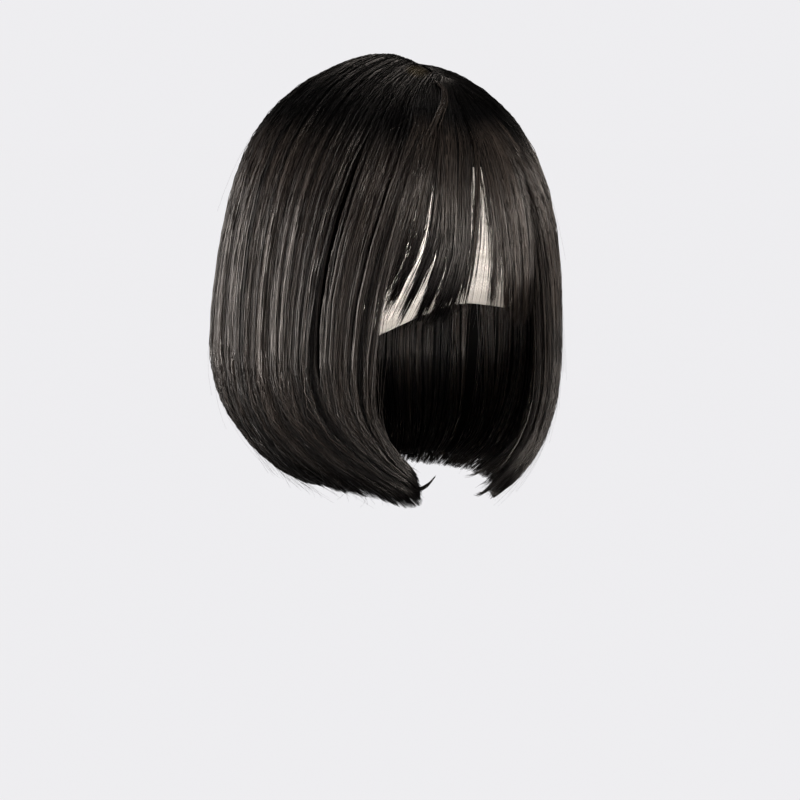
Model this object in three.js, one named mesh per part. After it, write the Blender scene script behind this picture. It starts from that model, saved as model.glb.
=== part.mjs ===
// A chin-length bob wig with a thin fringe, made as the real one is: masses of hair on a stretch-net cap, with a
// skin-coloured patch under the parting. Millimetres, +Z up, the face opening towards -Y, the wearer's right at -X.
// The origin is the inside of the cap's crown, where the top of a head bears.

import * as THREE from "three";

const DEG = Math.PI / 180;

// Form of the head that the cap is stretched over: half an ellipsoid above, a tapering drum below
const HEAD = { halfWidth: 77, halfDepth: 97, dome: 100, taper: 0.08, taperOver: 50 };
const HEAD_CENTRE = new THREE.Vector3(0, 0, -HEAD.dome);

// Net cap: its wall, the height of its hem at the forehead, the ears and the nape, and the degrees from the middle of
// the face over which the hem falls from each to the next
const CAP = { wall: 1.2, frontHem: -54, earHem: -142, napeHem: -170, toEar: [34, 80], toNape: [100, 165] };

// Parting: how far it lies to the wearer's left of the middle, how much lower the hair on its left side lies, and the
// patch that shows in it
const PARTING = { side: 6, fadesAtRow: 5, leftLower: 6, lowerFadesAtRow: 6 };
const PATCH = { halfWidth: 8, front: -40, back: 23, thick: 0.6 };

// Clearance between pieces that are sewn together on the real wig
const GAP = 0.9;

// Height of the hair's highest line over the origin
const HAIR_TOP = 15;

// Outer surface of the hair, row by row from the parting to the tips. drop is the depth below the hair's top over the
// ears, and frontDrop and backDrop are the same in the middle of the face and of the nape. wide, front and back are
// the half sizes of the plan there. wall is the thickness of hair that hangs free, and hangs goes from 0, lying on
// the cap, to 1, hanging free.
const CURTAIN = [
  { drop: 10.2, frontDrop: 22.5, backDrop: 14.8, wide: 2.5, front: 48, back: 30, wall: 8, hangs: 0 },
  { drop: 3, frontDrop: 20, backDrop: 9, wide: 10, front: 53, back: 37, wall: 10, hangs: 0 },
  { drop: 8, frontDrop: 27, backDrop: 15, wide: 28, front: 60, back: 53, wall: 12, hangs: 0 },
  { drop: 20, frontDrop: 39, backDrop: 27, wide: 48, front: 72, back: 71, wall: 14, hangs: 0 },
  { drop: 37, frontDrop: 53, backDrop: 42, wide: 66, front: 85, back: 86, wall: 14, hangs: 0 },
  { drop: 60, frontDrop: 71, backDrop: 63, wide: 80.5, front: 95, back: 99, wall: 14, hangs: 0 },
  { drop: 90, frontDrop: 95, backDrop: 91, wide: 91, front: 102, back: 109, wall: 13, hangs: 0.2 },
  { drop: 125, frontDrop: 125, backDrop: 125, wide: 97, front: 105, back: 119, wall: 13, hangs: 0.7 },
  { drop: 160, frontDrop: 160, backDrop: 160, wide: 99.5, front: 105, back: 129, wall: 13, hangs: 1 },
  { drop: 190, frontDrop: 190, backDrop: 190, wide: 99.5, front: 104, back: 132, wall: 13, hangs: 1 },
  { drop: 215, frontDrop: 215, backDrop: 215, wide: 94, front: 102, back: 122, wall: 12, hangs: 1 },
  { drop: 235, frontDrop: 235, backDrop: 235, wide: 82, front: 97, back: 102, wall: 11, hangs: 1 },
  { drop: 249, frontDrop: 249, backDrop: 249, wide: 67, front: 88, back: 82, wall: 8, hangs: 1 },
  { drop: 258, frontDrop: 258, backDrop: 258, wide: 51, front: 78, back: 63, wall: 4, hangs: 1 },
];

// The fringe shares the rows over the crown and then lies closer, on the forehead
const CROWN_ROWS = 5;
const FRINGE = [
  ...CURTAIN.slice(0, CROWN_ROWS),
  { drop: 60, frontDrop: 71, backDrop: 63, wide: 79, front: 94, back: 99, wall: 9, hangs: 0 },
  { drop: 90, frontDrop: 95, backDrop: 91, wide: 81, front: 100, back: 109, wall: 7, hangs: 0.6 },
  { drop: 120, frontDrop: 123, backDrop: 120, wide: 79, front: 102, back: 119, wall: 5, hangs: 1 },
  { drop: 150, frontDrop: 152, backDrop: 150, wide: 77, front: 101, back: 129, wall: 2.5, hangs: 1 },
];

// What a mass of hair has unless its row below says otherwise. longer is how far it hangs below its table's last row,
// edge is the share of its thickness that is rounded off at its sides, narrows is the degrees that each side draws in
// by towards the tips, sweep is the degrees that its tips turn in by, clumps and notch are the number of pointed ends
// along its lower edge and the depth of the cuts between them, and seat is its clearance over the cap.
const PLAIN = { table: CURTAIN, longer: 0, edge: 0.25, narrows: 0.5, sweep: 17, clumps: 0, notch: 0, seat: GAP };
const FACE_LOCK = { ...PLAIN, longer: 5, edge: 0.4, narrows: 3 };
const THIN_FRINGE = { ...PLAIN, table: FRINGE, longer: 2, narrows: 1, sweep: 0, clumps: 7, notch: 9, seat: 1.5 };

// Masses of hair by azimuth, in degrees from the middle of the face towards the wearer's left
const MASSES = [
  { ...THIN_FRINGE, name: "bangs", from: -40, to: 40 },
  { ...FACE_LOCK, name: "left_face_lock", from: 40, to: 62 },
  { ...PLAIN, name: "left_side_hair", from: 62, to: 126 },
  { ...PLAIN, name: "back_hair", from: 126, to: 234 },
  { ...PLAIN, name: "right_side_hair", from: 234, to: 298 },
  { ...FACE_LOCK, name: "right_face_lock", from: 298, to: 320 },
];
const MASS_GAP = 0.25; // degrees left free on each side of a mass
const EDGE_OVER = 6; // degrees over which a side sinks
const EDGE_FROM_ROW = 2; // the sides start to sink below the parting's ridge

// The tips turn in towards the chin: most at the face opening, not at all at the back
const SWEEP = { fullAt: 40, noneAt: 105, from: 0.7 };

// Fineness of the walls
const COLUMN_STEP = 6;
const ROWS_PER_SECTION = 1.6;
const CAP_ROWS = 13;
const PATCH_GRID = { across: 6, along: 14 };

// 0 at from and 1 at to, whichever is the larger
function smooth(from, to, x) {
  const t = THREE.MathUtils.clamp((x - from) / (to - from), 0, 1);
  return t * t * (3 - 2 * t);
}

// A table's columns as smooth functions of along, which runs from 0 at the parting to 1 at the tips
function columnsOf(table) {
  const columns = { rows: table.length - 1 };
  for (const name of Object.keys(table[0])) {
    const spline = new THREE.SplineCurve(table.map((row, index) => new THREE.Vector2(index, row[name])));
    columns[name] = (along) => spline.getPoint(along).y;
  }
  return columns;
}

// Degrees from the middle of the face, whichever side
const fromFace = (azimuth) => Math.abs(THREE.MathUtils.euclideanModulo(azimuth + 180, 360) - 180);

// Point of the hair's outer surface
function outerPoint(mass, columns, azimuth, along) {
  const row = along * columns.rows;
  const middle = (mass.from + mass.to) / 2;
  const share = (azimuth - mass.from) / (mass.to - mass.from);
  const drawnIn = (mass.narrows * smooth(0.5, 0.9, along) * 2) / (mass.to - mass.from);
  const narrowed = THREE.MathUtils.lerp(azimuth, middle, drawnIn);
  const turn = fromFace(narrowed);
  const swept = mass.sweep * smooth(SWEEP.noneAt, SWEEP.fullAt, turn) * smooth(SWEEP.from, 1, along);
  const angle = Math.sign(Math.sin(narrowed * DEG)) * (turn - swept) * DEG;
  const ahead = Math.cos(angle) > 0;
  const depth = ahead ? columns.front(along) : columns.back(along);
  const midDrop = ahead ? columns.frontDrop(along) : columns.backDrop(along);
  const drop = THREE.MathUtils.lerp(columns.drop(along), midDrop, Math.cos(angle) ** 2);
  const side = PARTING.side * smooth(PARTING.fadesAtRow, 1, row);
  const lower = PARTING.leftLower * Math.max(0, Math.sin(angle)) * smooth(0, 1, row);
  const lowered = lower * smooth(PARTING.lowerFadesAtRow, 1, row);
  const cut = (mass.notch * (1 + Math.cos(2 * Math.PI * mass.clumps * share))) / 2;
  const longer = (mass.longer - cut) * smooth(columns.rows / 2, columns.rows, row);
  return new THREE.Vector3(
    columns.wide(along) * Math.sin(angle) + side,
    -depth * Math.cos(angle),
    HAIR_TOP - drop - lowered - longer,
  );
}

// Outward direction of the hair's surface
function outwards(mass, columns, azimuth, along) {
  const step = 0.01;
  const across = outerPoint(mass, columns, azimuth + 1, along).sub(outerPoint(mass, columns, azimuth - 1, along));
  const low = Math.max(0, along - step);
  const high = Math.min(1, along + step);
  const down = outerPoint(mass, columns, azimuth, high).sub(outerPoint(mass, columns, azimuth, low));
  return down.cross(across).normalize();
}

// Point of the head form, grown by so many millimetres, on the line from the head's centre to a given point
function onHead(point, grown) {
  const from = point.clone().sub(HEAD_CENTRE);
  const below = Math.min(0, from.z);
  const shrink = 1 - HEAD.taper * (below / HEAD.taperOver) ** 2;
  const x = from.x / ((HEAD.halfWidth + grown) * shrink);
  const y = from.y / ((HEAD.halfDepth + grown) * shrink);
  if (from.z < 0) {
    const reach = Math.hypot(x, y);
    return new THREE.Vector3(from.x / reach, from.y / reach, point.z);
  }
  return from.divideScalar(Math.hypot(x, y, from.z / (HEAD.dome + grown))).add(HEAD_CENTRE);
}

// Faces of a mass of hair: the outer one sinks at the sides, and the inner one goes from the cap to the free hang.
// Along the parting the roots lie over the patch.
function hairFaces(mass) {
  const columns = columnsOf(mass.table);
  const inner = (azimuth, along) => {
    const point = outerPoint(mass, columns, azimuth, along);
    const overPatch = (PATCH.thick + GAP) * smooth(2, 1, along * columns.rows);
    const rooted = onHead(point, CAP.wall + mass.seat + overPatch);
    const hanging = point.addScaledVector(outwards(mass, columns, azimuth, along), -columns.wall(along));
    return rooted.lerp(hanging, THREE.MathUtils.clamp(columns.hangs(along), 0, 1));
  };
  const outer = (azimuth, along) => {
    const toSide = Math.min(azimuth - mass.from, mass.to - azimuth);
    const sunk = mass.edge * smooth(EDGE_OVER, 0, toSide) * smooth(0, EDGE_FROM_ROW, along * columns.rows);
    return outerPoint(mass, columns, azimuth, along).lerp(inner(azimuth, along), sunk);
  };
  return { outer, inner, rows: Math.round(columns.rows * ROWS_PER_SECTION) };
}

// Closed wall between two faces, each given as a point for (azimuth, along). A face that goes all the way round has
// no side walls, and a row that shrinks to a point has no triangles there.
function wallBetween(outer, inner, from, to, columns, rows, allRound = false) {
  const corners = [];
  const triangle = (a, b, c) => {
    const touching = a.distanceTo(b) < 1e-4 || b.distanceTo(c) < 1e-4 || c.distanceTo(a) < 1e-4;
    if (!touching) corners.push(a, b, c);
  };
  const quad = (a, b, c, d) => {
    triangle(a, b, c);
    triangle(a, c, d);
  };
  const grid = (face) =>
    Array.from({ length: columns + 1 }, (_, i) => {
      const azimuth = from + ((to - from) * (allRound ? i % columns : i)) / columns;
      return Array.from({ length: rows + 1 }, (__, j) => face(azimuth, j / rows));
    });
  const out = grid(outer);
  const into = grid(inner);
  for (let i = 0; i < columns; i++) {
    for (let j = 0; j < rows; j++) {
      quad(out[i][j], out[i][j + 1], out[i + 1][j + 1], out[i + 1][j]);
      quad(into[i][j], into[i + 1][j], into[i + 1][j + 1], into[i][j + 1]);
    }
    quad(out[i][0], out[i + 1][0], into[i + 1][0], into[i][0]);
    quad(out[i][rows], into[i][rows], into[i + 1][rows], out[i + 1][rows]);
  }
  for (let j = 0; j < rows && !allRound; j++) {
    quad(out[0][j], into[0][j], into[0][j + 1], out[0][j + 1]);
    quad(out[columns][j], out[columns][j + 1], into[columns][j + 1], into[columns][j]);
  }
  const geometry = new THREE.BufferGeometry().setFromPoints(corners);
  geometry.computeVertexNormals();
  return geometry;
}

function hairGeometry(mass) {
  const { outer, inner, rows } = hairFaces(mass);
  const columns = Math.ceil((mass.to - mass.from) / COLUMN_STEP);
  return wallBetween(outer, inner, mass.from + MASS_GAP, mass.to - MASS_GAP, columns, rows);
}

// The cap runs from the crown to a hem that falls from the forehead to the ears and then to the nape
function capGeometry() {
  const face = (grown) => (azimuth, along) => {
    const turn = fromFace(azimuth);
    const sides = THREE.MathUtils.lerp(CAP.frontHem, CAP.earHem, smooth(...CAP.toEar, turn));
    const hem = THREE.MathUtils.lerp(sides, CAP.napeHem, smooth(...CAP.toNape, turn));
    const overDome = hem + HEAD.dome;
    const hemAngle = overDome > 0 ? Math.acos(overDome / HEAD.dome) : Math.PI / 2 - overDome / HEAD.dome;
    const angle = hemAngle * along;
    const round = Math.sin(Math.min(angle, Math.PI / 2));
    const height = angle < Math.PI / 2 ? Math.cos(angle) : Math.PI / 2 - angle;
    const reach = 2 * (HEAD.halfDepth + grown) * round;
    const towards = new THREE.Vector3(
      reach * (HEAD.halfWidth / HEAD.halfDepth) * Math.sin(azimuth * DEG),
      -reach * Math.cos(azimuth * DEG),
      0,
    );
    if (height < 0) return onHead(towards.setZ(HEAD_CENTRE.z + height * HEAD.dome), grown);
    return onHead(towards.setZ(2 * (HEAD.dome + grown) * height).add(HEAD_CENTRE), grown);
  };
  return wallBetween(face(CAP.wall), face(0), -180, 180, Math.round(360 / COLUMN_STEP), CAP_ROWS, true);
}

// The patch lies on the cap under the parting
function patchGeometry() {
  const face = (grown) => (across, along) => {
    const x = PARTING.side + PATCH.halfWidth * across;
    const y = THREE.MathUtils.lerp(PATCH.back, PATCH.front, along);
    return onHead(new THREE.Vector3(x, y, 0), grown);
  };
  const bottom = face(CAP.wall + GAP);
  const top = face(CAP.wall + GAP + PATCH.thick);
  return wallBetween(top, bottom, -1, 1, PATCH_GRID.across, PATCH_GRID.along);
}

const fibre = new THREE.MeshStandardMaterial({ color: 0x1a1716, roughness: 0.4, metalness: 0 });
const net = new THREE.MeshStandardMaterial({ color: 0xdcd4c8, roughness: 0.85, metalness: 0 });
const skin = new THREE.MeshStandardMaterial({ color: 0x6b5232, roughness: 0.6, metalness: 0 });

const wig = new THREE.Group();

function add(name, geometry, material) {
  const mesh = new THREE.Mesh(geometry, material);
  mesh.name = name;
  wig.add(mesh);
}

add("cap", capGeometry(), net);
add("parting_patch", patchGeometry(), skin);
for (const mass of MASSES) add(mass.name, hairGeometry(mass), fibre);

export default wig;
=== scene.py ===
import math

import bmesh
import bpy
import numpy as np
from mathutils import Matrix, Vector


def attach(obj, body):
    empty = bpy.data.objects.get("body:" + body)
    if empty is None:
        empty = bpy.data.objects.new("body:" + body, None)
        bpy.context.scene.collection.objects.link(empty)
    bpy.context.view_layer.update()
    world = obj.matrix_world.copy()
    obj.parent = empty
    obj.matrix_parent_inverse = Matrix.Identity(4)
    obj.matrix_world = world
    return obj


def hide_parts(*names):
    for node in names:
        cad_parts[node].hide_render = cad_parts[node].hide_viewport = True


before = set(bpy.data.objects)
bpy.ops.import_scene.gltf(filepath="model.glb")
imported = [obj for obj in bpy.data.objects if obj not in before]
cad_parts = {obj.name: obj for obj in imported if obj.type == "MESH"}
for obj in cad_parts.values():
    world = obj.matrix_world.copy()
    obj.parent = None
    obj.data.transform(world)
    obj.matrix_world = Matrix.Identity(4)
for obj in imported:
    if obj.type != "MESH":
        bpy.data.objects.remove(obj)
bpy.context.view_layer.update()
mm = 0.001


def smooth(low, high, x):  # 0 at low and 1 at high, whichever is larger
    t = np.clip((x - low) / (high - low), 0, 1)
    return t * t * (3 - 2 * t)


def unit(vectors):
    return vectors / np.maximum(np.linalg.norm(vectors, axis=-1, keepdims=True), 1e-12)


# Shader graphs

class Socket:  # a socket that takes part in Python expressions
    def __init__(self, graph, socket):
        self.graph = graph
        self.socket = socket

    def __add__(self, other):
        return self.graph.math("ADD", self, other)

    def __sub__(self, other):
        return self.graph.math("SUBTRACT", self, other)

    def __rsub__(self, other):
        return self.graph.math("SUBTRACT", other, self)

    def __mul__(self, other):
        return self.graph.math("MULTIPLY", self, other)

    __radd__ = __add__
    __rmul__ = __mul__


class Graph:  # the nodes of a material or of the world
    def __init__(self, owner):
        owner.use_nodes = True
        self.owner = owner
        self.tree = owner.node_tree

    def feed(self, socket, value):
        if isinstance(value, Socket):
            self.tree.links.new(value.socket, socket)
        else:
            socket.default_value = value

    def node(self, kind, settings=None, inputs=None, output=0):
        made = self.tree.nodes.new(kind)
        for name, value in (settings or {}).items():
            setattr(made, name, value)
        for name, value in (inputs or {}).items():
            self.feed(made.inputs[name], value)
        return Socket(self, made.outputs[output])

    def math(self, operation, a, b):
        return self.node("ShaderNodeMath", {"operation": operation}, {0: a, 1: b})

    def mix(self, factor, a, b):  # between two colours
        settings = {"data_type": "RGBA", "clamp_factor": True}
        return self.node("ShaderNodeMix", settings, {0: factor, 6: a, 7: b}, output=2)

    def ramp(self, x, low, high):  # smoothly from 0 at low to 1 at high
        settings = {"interpolation_type": "SMOOTHSTEP"}
        return self.node("ShaderNodeMapRange", settings, {"Value": x, "From Min": low, "From Max": high})

    def attribute(self, name):
        return self.node("ShaderNodeAttribute", {"attribute_name": name}, output="Fac")

    def place(self):
        return self.node("ShaderNodeTexCoord", output="Object")

    def noise(self, vector, scale):
        return self.node("ShaderNodeTexNoise", None, {"Vector": vector, "Scale": scale})

    def principled(self, **inputs):
        shader = self.tree.nodes["Principled BSDF"]
        for name, value in inputs.items():
            self.feed(shader.inputs[name.replace("_", " ")], value)
        return self.owner


def newMaterial(name):
    return Graph(bpy.data.materials.new(name))


def rgb(r, g, b):
    return (r, g, b, 1.0)


# Outer surface of the hair, as in the CAD: rows from the parting to the tips, in millimetres

hairTop = 15.0
parting = {"side": 6.0, "sideRows": (5, 1), "leftLower": 6.0, "lowerRows": (6, 1)}
tipSweep = {"turn": (105, 40), "start": 0.7}
narrowsOver = (0.5, 0.9)  # shares of the way down
curtain = {
    "drop": [10.2, 3, 8, 20, 37, 60, 90, 125, 160, 190, 215, 235, 249, 258],
    "frontDrop": [22.5, 20, 27, 39, 53, 71, 95, 125, 160, 190, 215, 235, 249, 258],
    "backDrop": [14.8, 9, 15, 27, 42, 63, 91, 125, 160, 190, 215, 235, 249, 258],
    "wide": [2.5, 10, 28, 48, 66, 80.5, 91, 97, 99.5, 99.5, 94, 82, 67, 51],
    "front": [48, 53, 60, 72, 85, 95, 102, 105, 105, 104, 102, 97, 88, 78],
    "back": [30, 37, 53, 71, 86, 99, 109, 119, 129, 132, 122, 102, 82, 63],
}
fringe = {
    "drop": [10.2, 3, 8, 20, 37, 60, 90, 120, 150],
    "frontDrop": [22.5, 20, 27, 39, 53, 71, 95, 123, 152],
    "backDrop": [14.8, 9, 15, 27, 42, 63, 91, 120, 150],
    "wide": [2.5, 10, 28, 48, 66, 79, 81, 79, 77],
    "front": [48, 53, 60, 72, 85, 94, 100, 102, 101],
    "back": [30, 37, 53, 71, 86, 99, 109, 119, 129],
}
fineness = 600  # points of each smooth curve


def splined(table):  # each column as a fine smooth curve through its rows
    rows = len(table["drop"]) - 1
    x = np.linspace(0, rows, fineness)
    i = np.minimum(x.astype(int), rows - 1)
    t = x - i
    fine = {"rows": rows}
    for name, column in table.items():
        v = np.array(column, float)
        before, a, b, after = v[np.maximum(i - 1, 0)], v[i], v[i + 1], v[np.minimum(i + 2, rows)]
        slopeA, slopeB = (b - before) / 2, (after - a) / 2
        cubic = 2 * a - 2 * b + slopeA + slopeB
        square = 3 * b - 3 * a - 2 * slopeA - slopeB
        fine[name] = ((cubic * t + square) * t + slopeA) * t + a
    return fine


curtainFine, fringeFine = splined(curtain), splined(fringe)

# Masses of hair, by degrees from the middle of the face opening towards the wearer's left
plainMass = {"table": curtainFine, "longer": 0, "narrows": 0.5, "sweep": 17}
faceLock = {"table": curtainFine, "longer": 5, "narrows": 3, "sweep": 17}
masses = {
    "bangs": {"table": fringeFine, "longer": 2, "narrows": 1, "sweep": 0, "start": -40, "end": 40},
    "left_face_lock": {**faceLock, "start": 40, "end": 62},
    "left_side_hair": {**plainMass, "start": 62, "end": 126},
    "back_hair": {**plainMass, "start": 126, "end": 234},
    "right_side_hair": {**plainMass, "start": -126, "end": -62},
    "right_face_lock": {**faceLock, "start": -62, "end": -40},
}


def fromFront(azimuth):  # degrees from the front, either way round
    return np.abs((azimuth + 180) % 360 - 180)


def hairPoint(mass, azimuth, along):  # on the outer surface, in metres
    fine = mass["table"]
    grid = np.linspace(0, 1, fineness)
    column = {name: np.interp(along, grid, fine[name]) for name in curtain}
    row = along * fine["rows"]
    middle, half = (mass["start"] + mass["end"]) / 2, (mass["end"] - mass["start"]) / 2
    narrowed = azimuth + (middle - azimuth) * mass["narrows"] / half * smooth(*narrowsOver, along)
    turn = fromFront(narrowed)
    swept = mass["sweep"] * smooth(*tipSweep["turn"], turn) * smooth(tipSweep["start"], 1, along)
    angle = np.radians(np.where(np.sin(np.radians(narrowed)) < 0, -1, 1) * (turn - swept))
    ahead = np.cos(angle) > 0
    depth = np.where(ahead, column["front"], column["back"])
    middleDrop = np.where(ahead, column["frontDrop"], column["backDrop"])
    drop = column["drop"] + (middleDrop - column["drop"]) * np.cos(angle) ** 2
    lower = parting["leftLower"] * np.maximum(0, np.sin(angle))
    lower = lower * smooth(0, 1, row) * smooth(*parting["lowerRows"], row)
    x = column["wide"] * np.sin(angle) + parting["side"] * smooth(*parting["sideRows"], row)
    z = hairTop - drop - lower - mass["longer"] * smooth(fine["rows"] / 2, fine["rows"], row)
    return np.stack([x, -depth * np.cos(angle), z], -1) * mm


def hairSurface(mass, azimuth, along):  # the point, and the direction out of the hair
    aside, step = 0.5, 0.006
    along = np.clip(along, 0, 1)
    across = hairPoint(mass, azimuth + aside, along) - hairPoint(mass, azimuth - aside, along)
    high, low = np.minimum(along + step, 1), np.maximum(along - step, 0)
    down = hairPoint(mass, azimuth, high) - hairPoint(mass, azimuth, low)
    return hairPoint(mass, azimuth, along), unit(np.cross(down, across))


# Meshes from arrays

def meshObject(name, verts, quads, tris, uv, values, materials, firstSecond=None):
    mesh = bpy.data.meshes.new(name)
    mesh.vertices.add(len(verts))
    mesh.vertices.foreach_set("co", verts.astype(np.float32).ravel())
    loops = np.concatenate([quads.ravel(), tris.ravel()]).astype(np.int32)
    mesh.loops.add(len(loops))
    mesh.loops.foreach_set("vertex_index", loops)
    starts = np.concatenate([np.arange(len(quads)) * 4, len(quads) * 4 + np.arange(len(tris)) * 3])
    mesh.polygons.add(len(starts))
    mesh.polygons.foreach_set("loop_start", starts.astype(np.int32))
    mesh.update(calc_edges=True)
    mesh.shade_smooth()
    mesh.uv_layers.new(name="OFBake").data.foreach_set("uv", uv.astype(np.float32).ravel())
    for key, value in values.items():
        mesh.attributes.new(key, "FLOAT", "POINT").data.foreach_set("value", value.astype(np.float32))
    for material in materials:
        mesh.materials.append(material)
    if firstSecond is not None:  # quads from this one on take the second material
        index = np.zeros(len(starts), np.int32)
        index[firstSecond:len(quads)] = 1
        mesh.polygons.foreach_set("material_index", index)
    made = bpy.data.objects.new(name, mesh)
    bpy.context.scene.collection.objects.link(made)
    print(name, "has", 2 * len(quads) + len(tris), "triangles")
    return made


rollStep = 2.4  # radians that each strand is rolled further than the one before


def tubes(points, normals, radius):  # three-sided strands that end in a point
    n, k = points.shape[:2]
    tangent = unit(np.gradient(points, axis=1))
    side = unit(np.cross(tangent, normals))
    out = np.cross(side, tangent)
    roll = np.arange(n)[:, None] * rollStep + np.arange(3) * 2 * np.pi / 3
    cos, sin = np.cos(roll)[:, None, :, None], np.sin(roll)[:, None, :, None]
    ring = cos * out[:, :, None] + sin * side[:, :, None]
    verts = points[:, :, None] + ring * radius[:, :, None, None]
    first = (np.arange(n) * k * 3)[:, None]
    j = np.arange(3)
    lower = np.arange(k - 1)[:, None] * 3
    a, b = (lower + j).ravel(), (lower + (j + 1) % 3).ravel()
    quads = first[..., None] + np.stack([a, b, b + 3, a + 3], -1)
    ends = first[..., None] + np.array([[0, 2, 1], [k * 3 - 3, k * 3 - 2, k * 3 - 1]])
    return verts.reshape(-1, 3), quads.reshape(-1, 4), ends.reshape(-1, 3)


# A strand's strip on the UV square: how slender it is, start and reach of its faces, and its two ends
stripUv = {
    "slender": 8, "side": (0.12, 0.76), "length": (0.03, 0.94),
    "root": [[0.3, 0.004], [0.5, 0.018], [0.7, 0.004]], "tip": [[0.3, 0.982], [0.7, 0.982], [0.5, 0.996]],
}


def strandUv(n, k, low, high):  # a strip of its own for every strand, between two heights of the UV square
    perRow = max(1, math.ceil(math.sqrt(n * stripUv["slender"] / (high - low))))
    rows = math.ceil(n / perRow)
    i = np.arange(n)
    size = np.array([1 / perRow, (high - low) / rows])
    corner = np.stack([i % perRow * size[0], low + i // perRow * size[1]], -1)
    j = np.arange(3)
    u = stripUv["side"][0] + stripUv["side"][1] * np.stack([j, j + 1, j + 1, j], -1) / 3
    v = stripUv["length"][0] + stripUv["length"][1] * np.arange(k) / (k - 1)
    u = np.broadcast_to(u, (k - 1, 3, 4))
    v = np.repeat(np.stack([v[:-1], v[:-1], v[1:], v[1:]], -1)[:, None], 3, 1)
    quadUv = corner[:, None, None, None] + np.stack([u, v], -1) * size
    endUv = corner[:, None, None] + np.array([stripUv["root"], stripUv["tip"]]) * size
    return quadUv.reshape(-1, 2), endUv.reshape(-1, 2)


# A wall's outer and inner face and its rims on the UV square, between two heights with a margin
wallUv = {
    "wide": 0.44, "outer": 0.02, "inner": 0.5, "margin": 0.03,
    "rims": 0.96, "rimWide": 0.005, "rimStep": 0.008,
}


def closedWall(outer, inner, low, high, allRound=False):  # between two grids of points, with UVs
    columns, rows = outer.shape[:2]
    verts = np.concatenate([outer.reshape(-1, 3), inner.reshape(-1, 3)])
    front = np.arange(columns * rows).reshape(columns, rows)
    back = front + columns * rows
    cells = lambda g: np.stack([g[:-1, :-1], g[:-1, 1:], g[1:, 1:], g[1:, :-1]], -1).reshape(-1, 4)
    strip = lambda a, b: np.stack([a[:-1], a[1:], b[1:], b[:-1]], -1)
    if allRound:
        front, back = np.concatenate([front, front[:1]]), np.concatenate([back, back[:1]])
    sheets = [cells(front), cells(back)[:, ::-1]]
    rims = [strip(front[:, 0], back[:, 0]), strip(back[:, -1], front[:, -1])]
    if not allRound:
        rims += [strip(back[0], front[0]), strip(front[-1], back[-1])]
    shares = np.linspace(0, 1, front.shape[0]), np.linspace(0, 1, rows)
    grid = np.stack(np.meshgrid(*shares, indexing="ij"), -1)
    flat = grid.reshape(-1, 2)
    which = cells(np.arange(len(flat)).reshape(grid.shape[:2]))
    tall, bottom = (high - low) * (1 - 2 * wallUv["margin"]), low + (high - low) * wallUv["margin"]
    scale = np.array([wallUv["wide"], tall])
    uv = [flat[which] * scale + [wallUv["outer"], bottom]]
    uv += [flat[which[:, ::-1]] * scale + [wallUv["inner"], bottom]]
    for n, rim in enumerate(rims):
        left = wallUv["rims"] + wallUv["rimStep"] * n
        right = left + wallUv["rimWide"]
        v = bottom + tall * np.arange(len(rim) + 1) / len(rim)
        uv.append(np.stack([
            np.broadcast_to([left, left, right, right], (len(rim), 4)),
            np.stack([v[:-1], v[1:], v[1:], v[:-1]], -1),
        ], -1))
    return verts, np.concatenate(sheets + rims), np.concatenate([u.reshape(-1, 2) for u in uv])


strandsUvTop, sheetUv = 0.86, (0.87, 1.0)  # heights of the UV square


def hairPiece(name, node, groups, sheet):  # strands and, under them, a closed sheet of packed hair
    verts, quads, tris, quadUv, triUv, tone, along = [], [], [], [], [], [], []
    offset, low = 0, 0.0
    total = sum(len(group["tone"]) for group in groups)
    for group in groups:
        n, k = group["points"].shape[:2]
        high = low + strandsUvTop * n / total
        v, q, t = tubes(group["points"], group["normals"], group["radius"])
        uvQ, uvT = strandUv(n, k, low, high)
        verts.append(v)
        quads.append(q + offset)
        tris.append(t + offset)
        quadUv.append(uvQ)
        triUv.append(uvT)
        tone.append(np.repeat(group["tone"], k * 3))
        along.append(np.repeat(group["along"].ravel(), 3))
        offset += len(v)
        low = high
    strandQuads = sum(len(q) for q in quads)
    v, q, uv = closedWall(*sheet, *sheetUv)
    verts.append(v)
    quads.append(q + offset)
    quadUv.append(uv)
    tone.append(np.zeros(len(v)))
    along.append(np.zeros(len(v)))
    join = np.concatenate
    made = meshObject(
        name, join(verts), join(quads), join(tris), join(quadUv + triUv),
        {"tone": join(tone), "along": join(along)}, [hairFibre, packedHair], strandQuads,
    )
    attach(made, "root")
    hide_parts(node)


# How many degrees a strand lies further forward over the crown, and again at its tip, and how much the tip
# rises there, by how far round it hangs. The wearer's left turns in less.
flow = {
    "turn": [36, 44, 52, 60, 67, 74, 95, 130, 180],
    "crown": [14, 14, 13, 11, 8.5, 6, 4, 2, 0],
    "tips": [2, 9, 15, 19, 18, 15, 6, 1, 0],
    "rise": [0.1, 0.09, 0.075, 0.045, 0.01, 0, 0, 0, 0],
    "leftTips": 0.5, "leftRise": 0.1,
    "crownOver": (0.64, 0.28), "tipsOver": (0.68, 0.95), "riseOver": (0.8, 1),
}


def flowed(azimuth, along):  # where a strand really lies
    side = np.where(np.sin(np.radians(azimuth)) < 0, -1, 1)
    turn = fromFront(azimuth)
    crown = np.interp(turn, flow["turn"], flow["crown"]) * smooth(*flow["crownOver"], along)
    tips = np.interp(turn, flow["turn"], flow["tips"]) * smooth(*flow["tipsOver"], along)
    rise = np.interp(turn, flow["turn"], flow["rise"]) * smooth(*flow["riseOver"], along)
    tips = tips * np.where(side > 0, flow["leftTips"], 1)
    rise = rise * np.where(side > 0, flow["leftRise"], 1)
    return azimuth - side * (crown + tips), along - rise


def column(values):
    return values[:, None]


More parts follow.
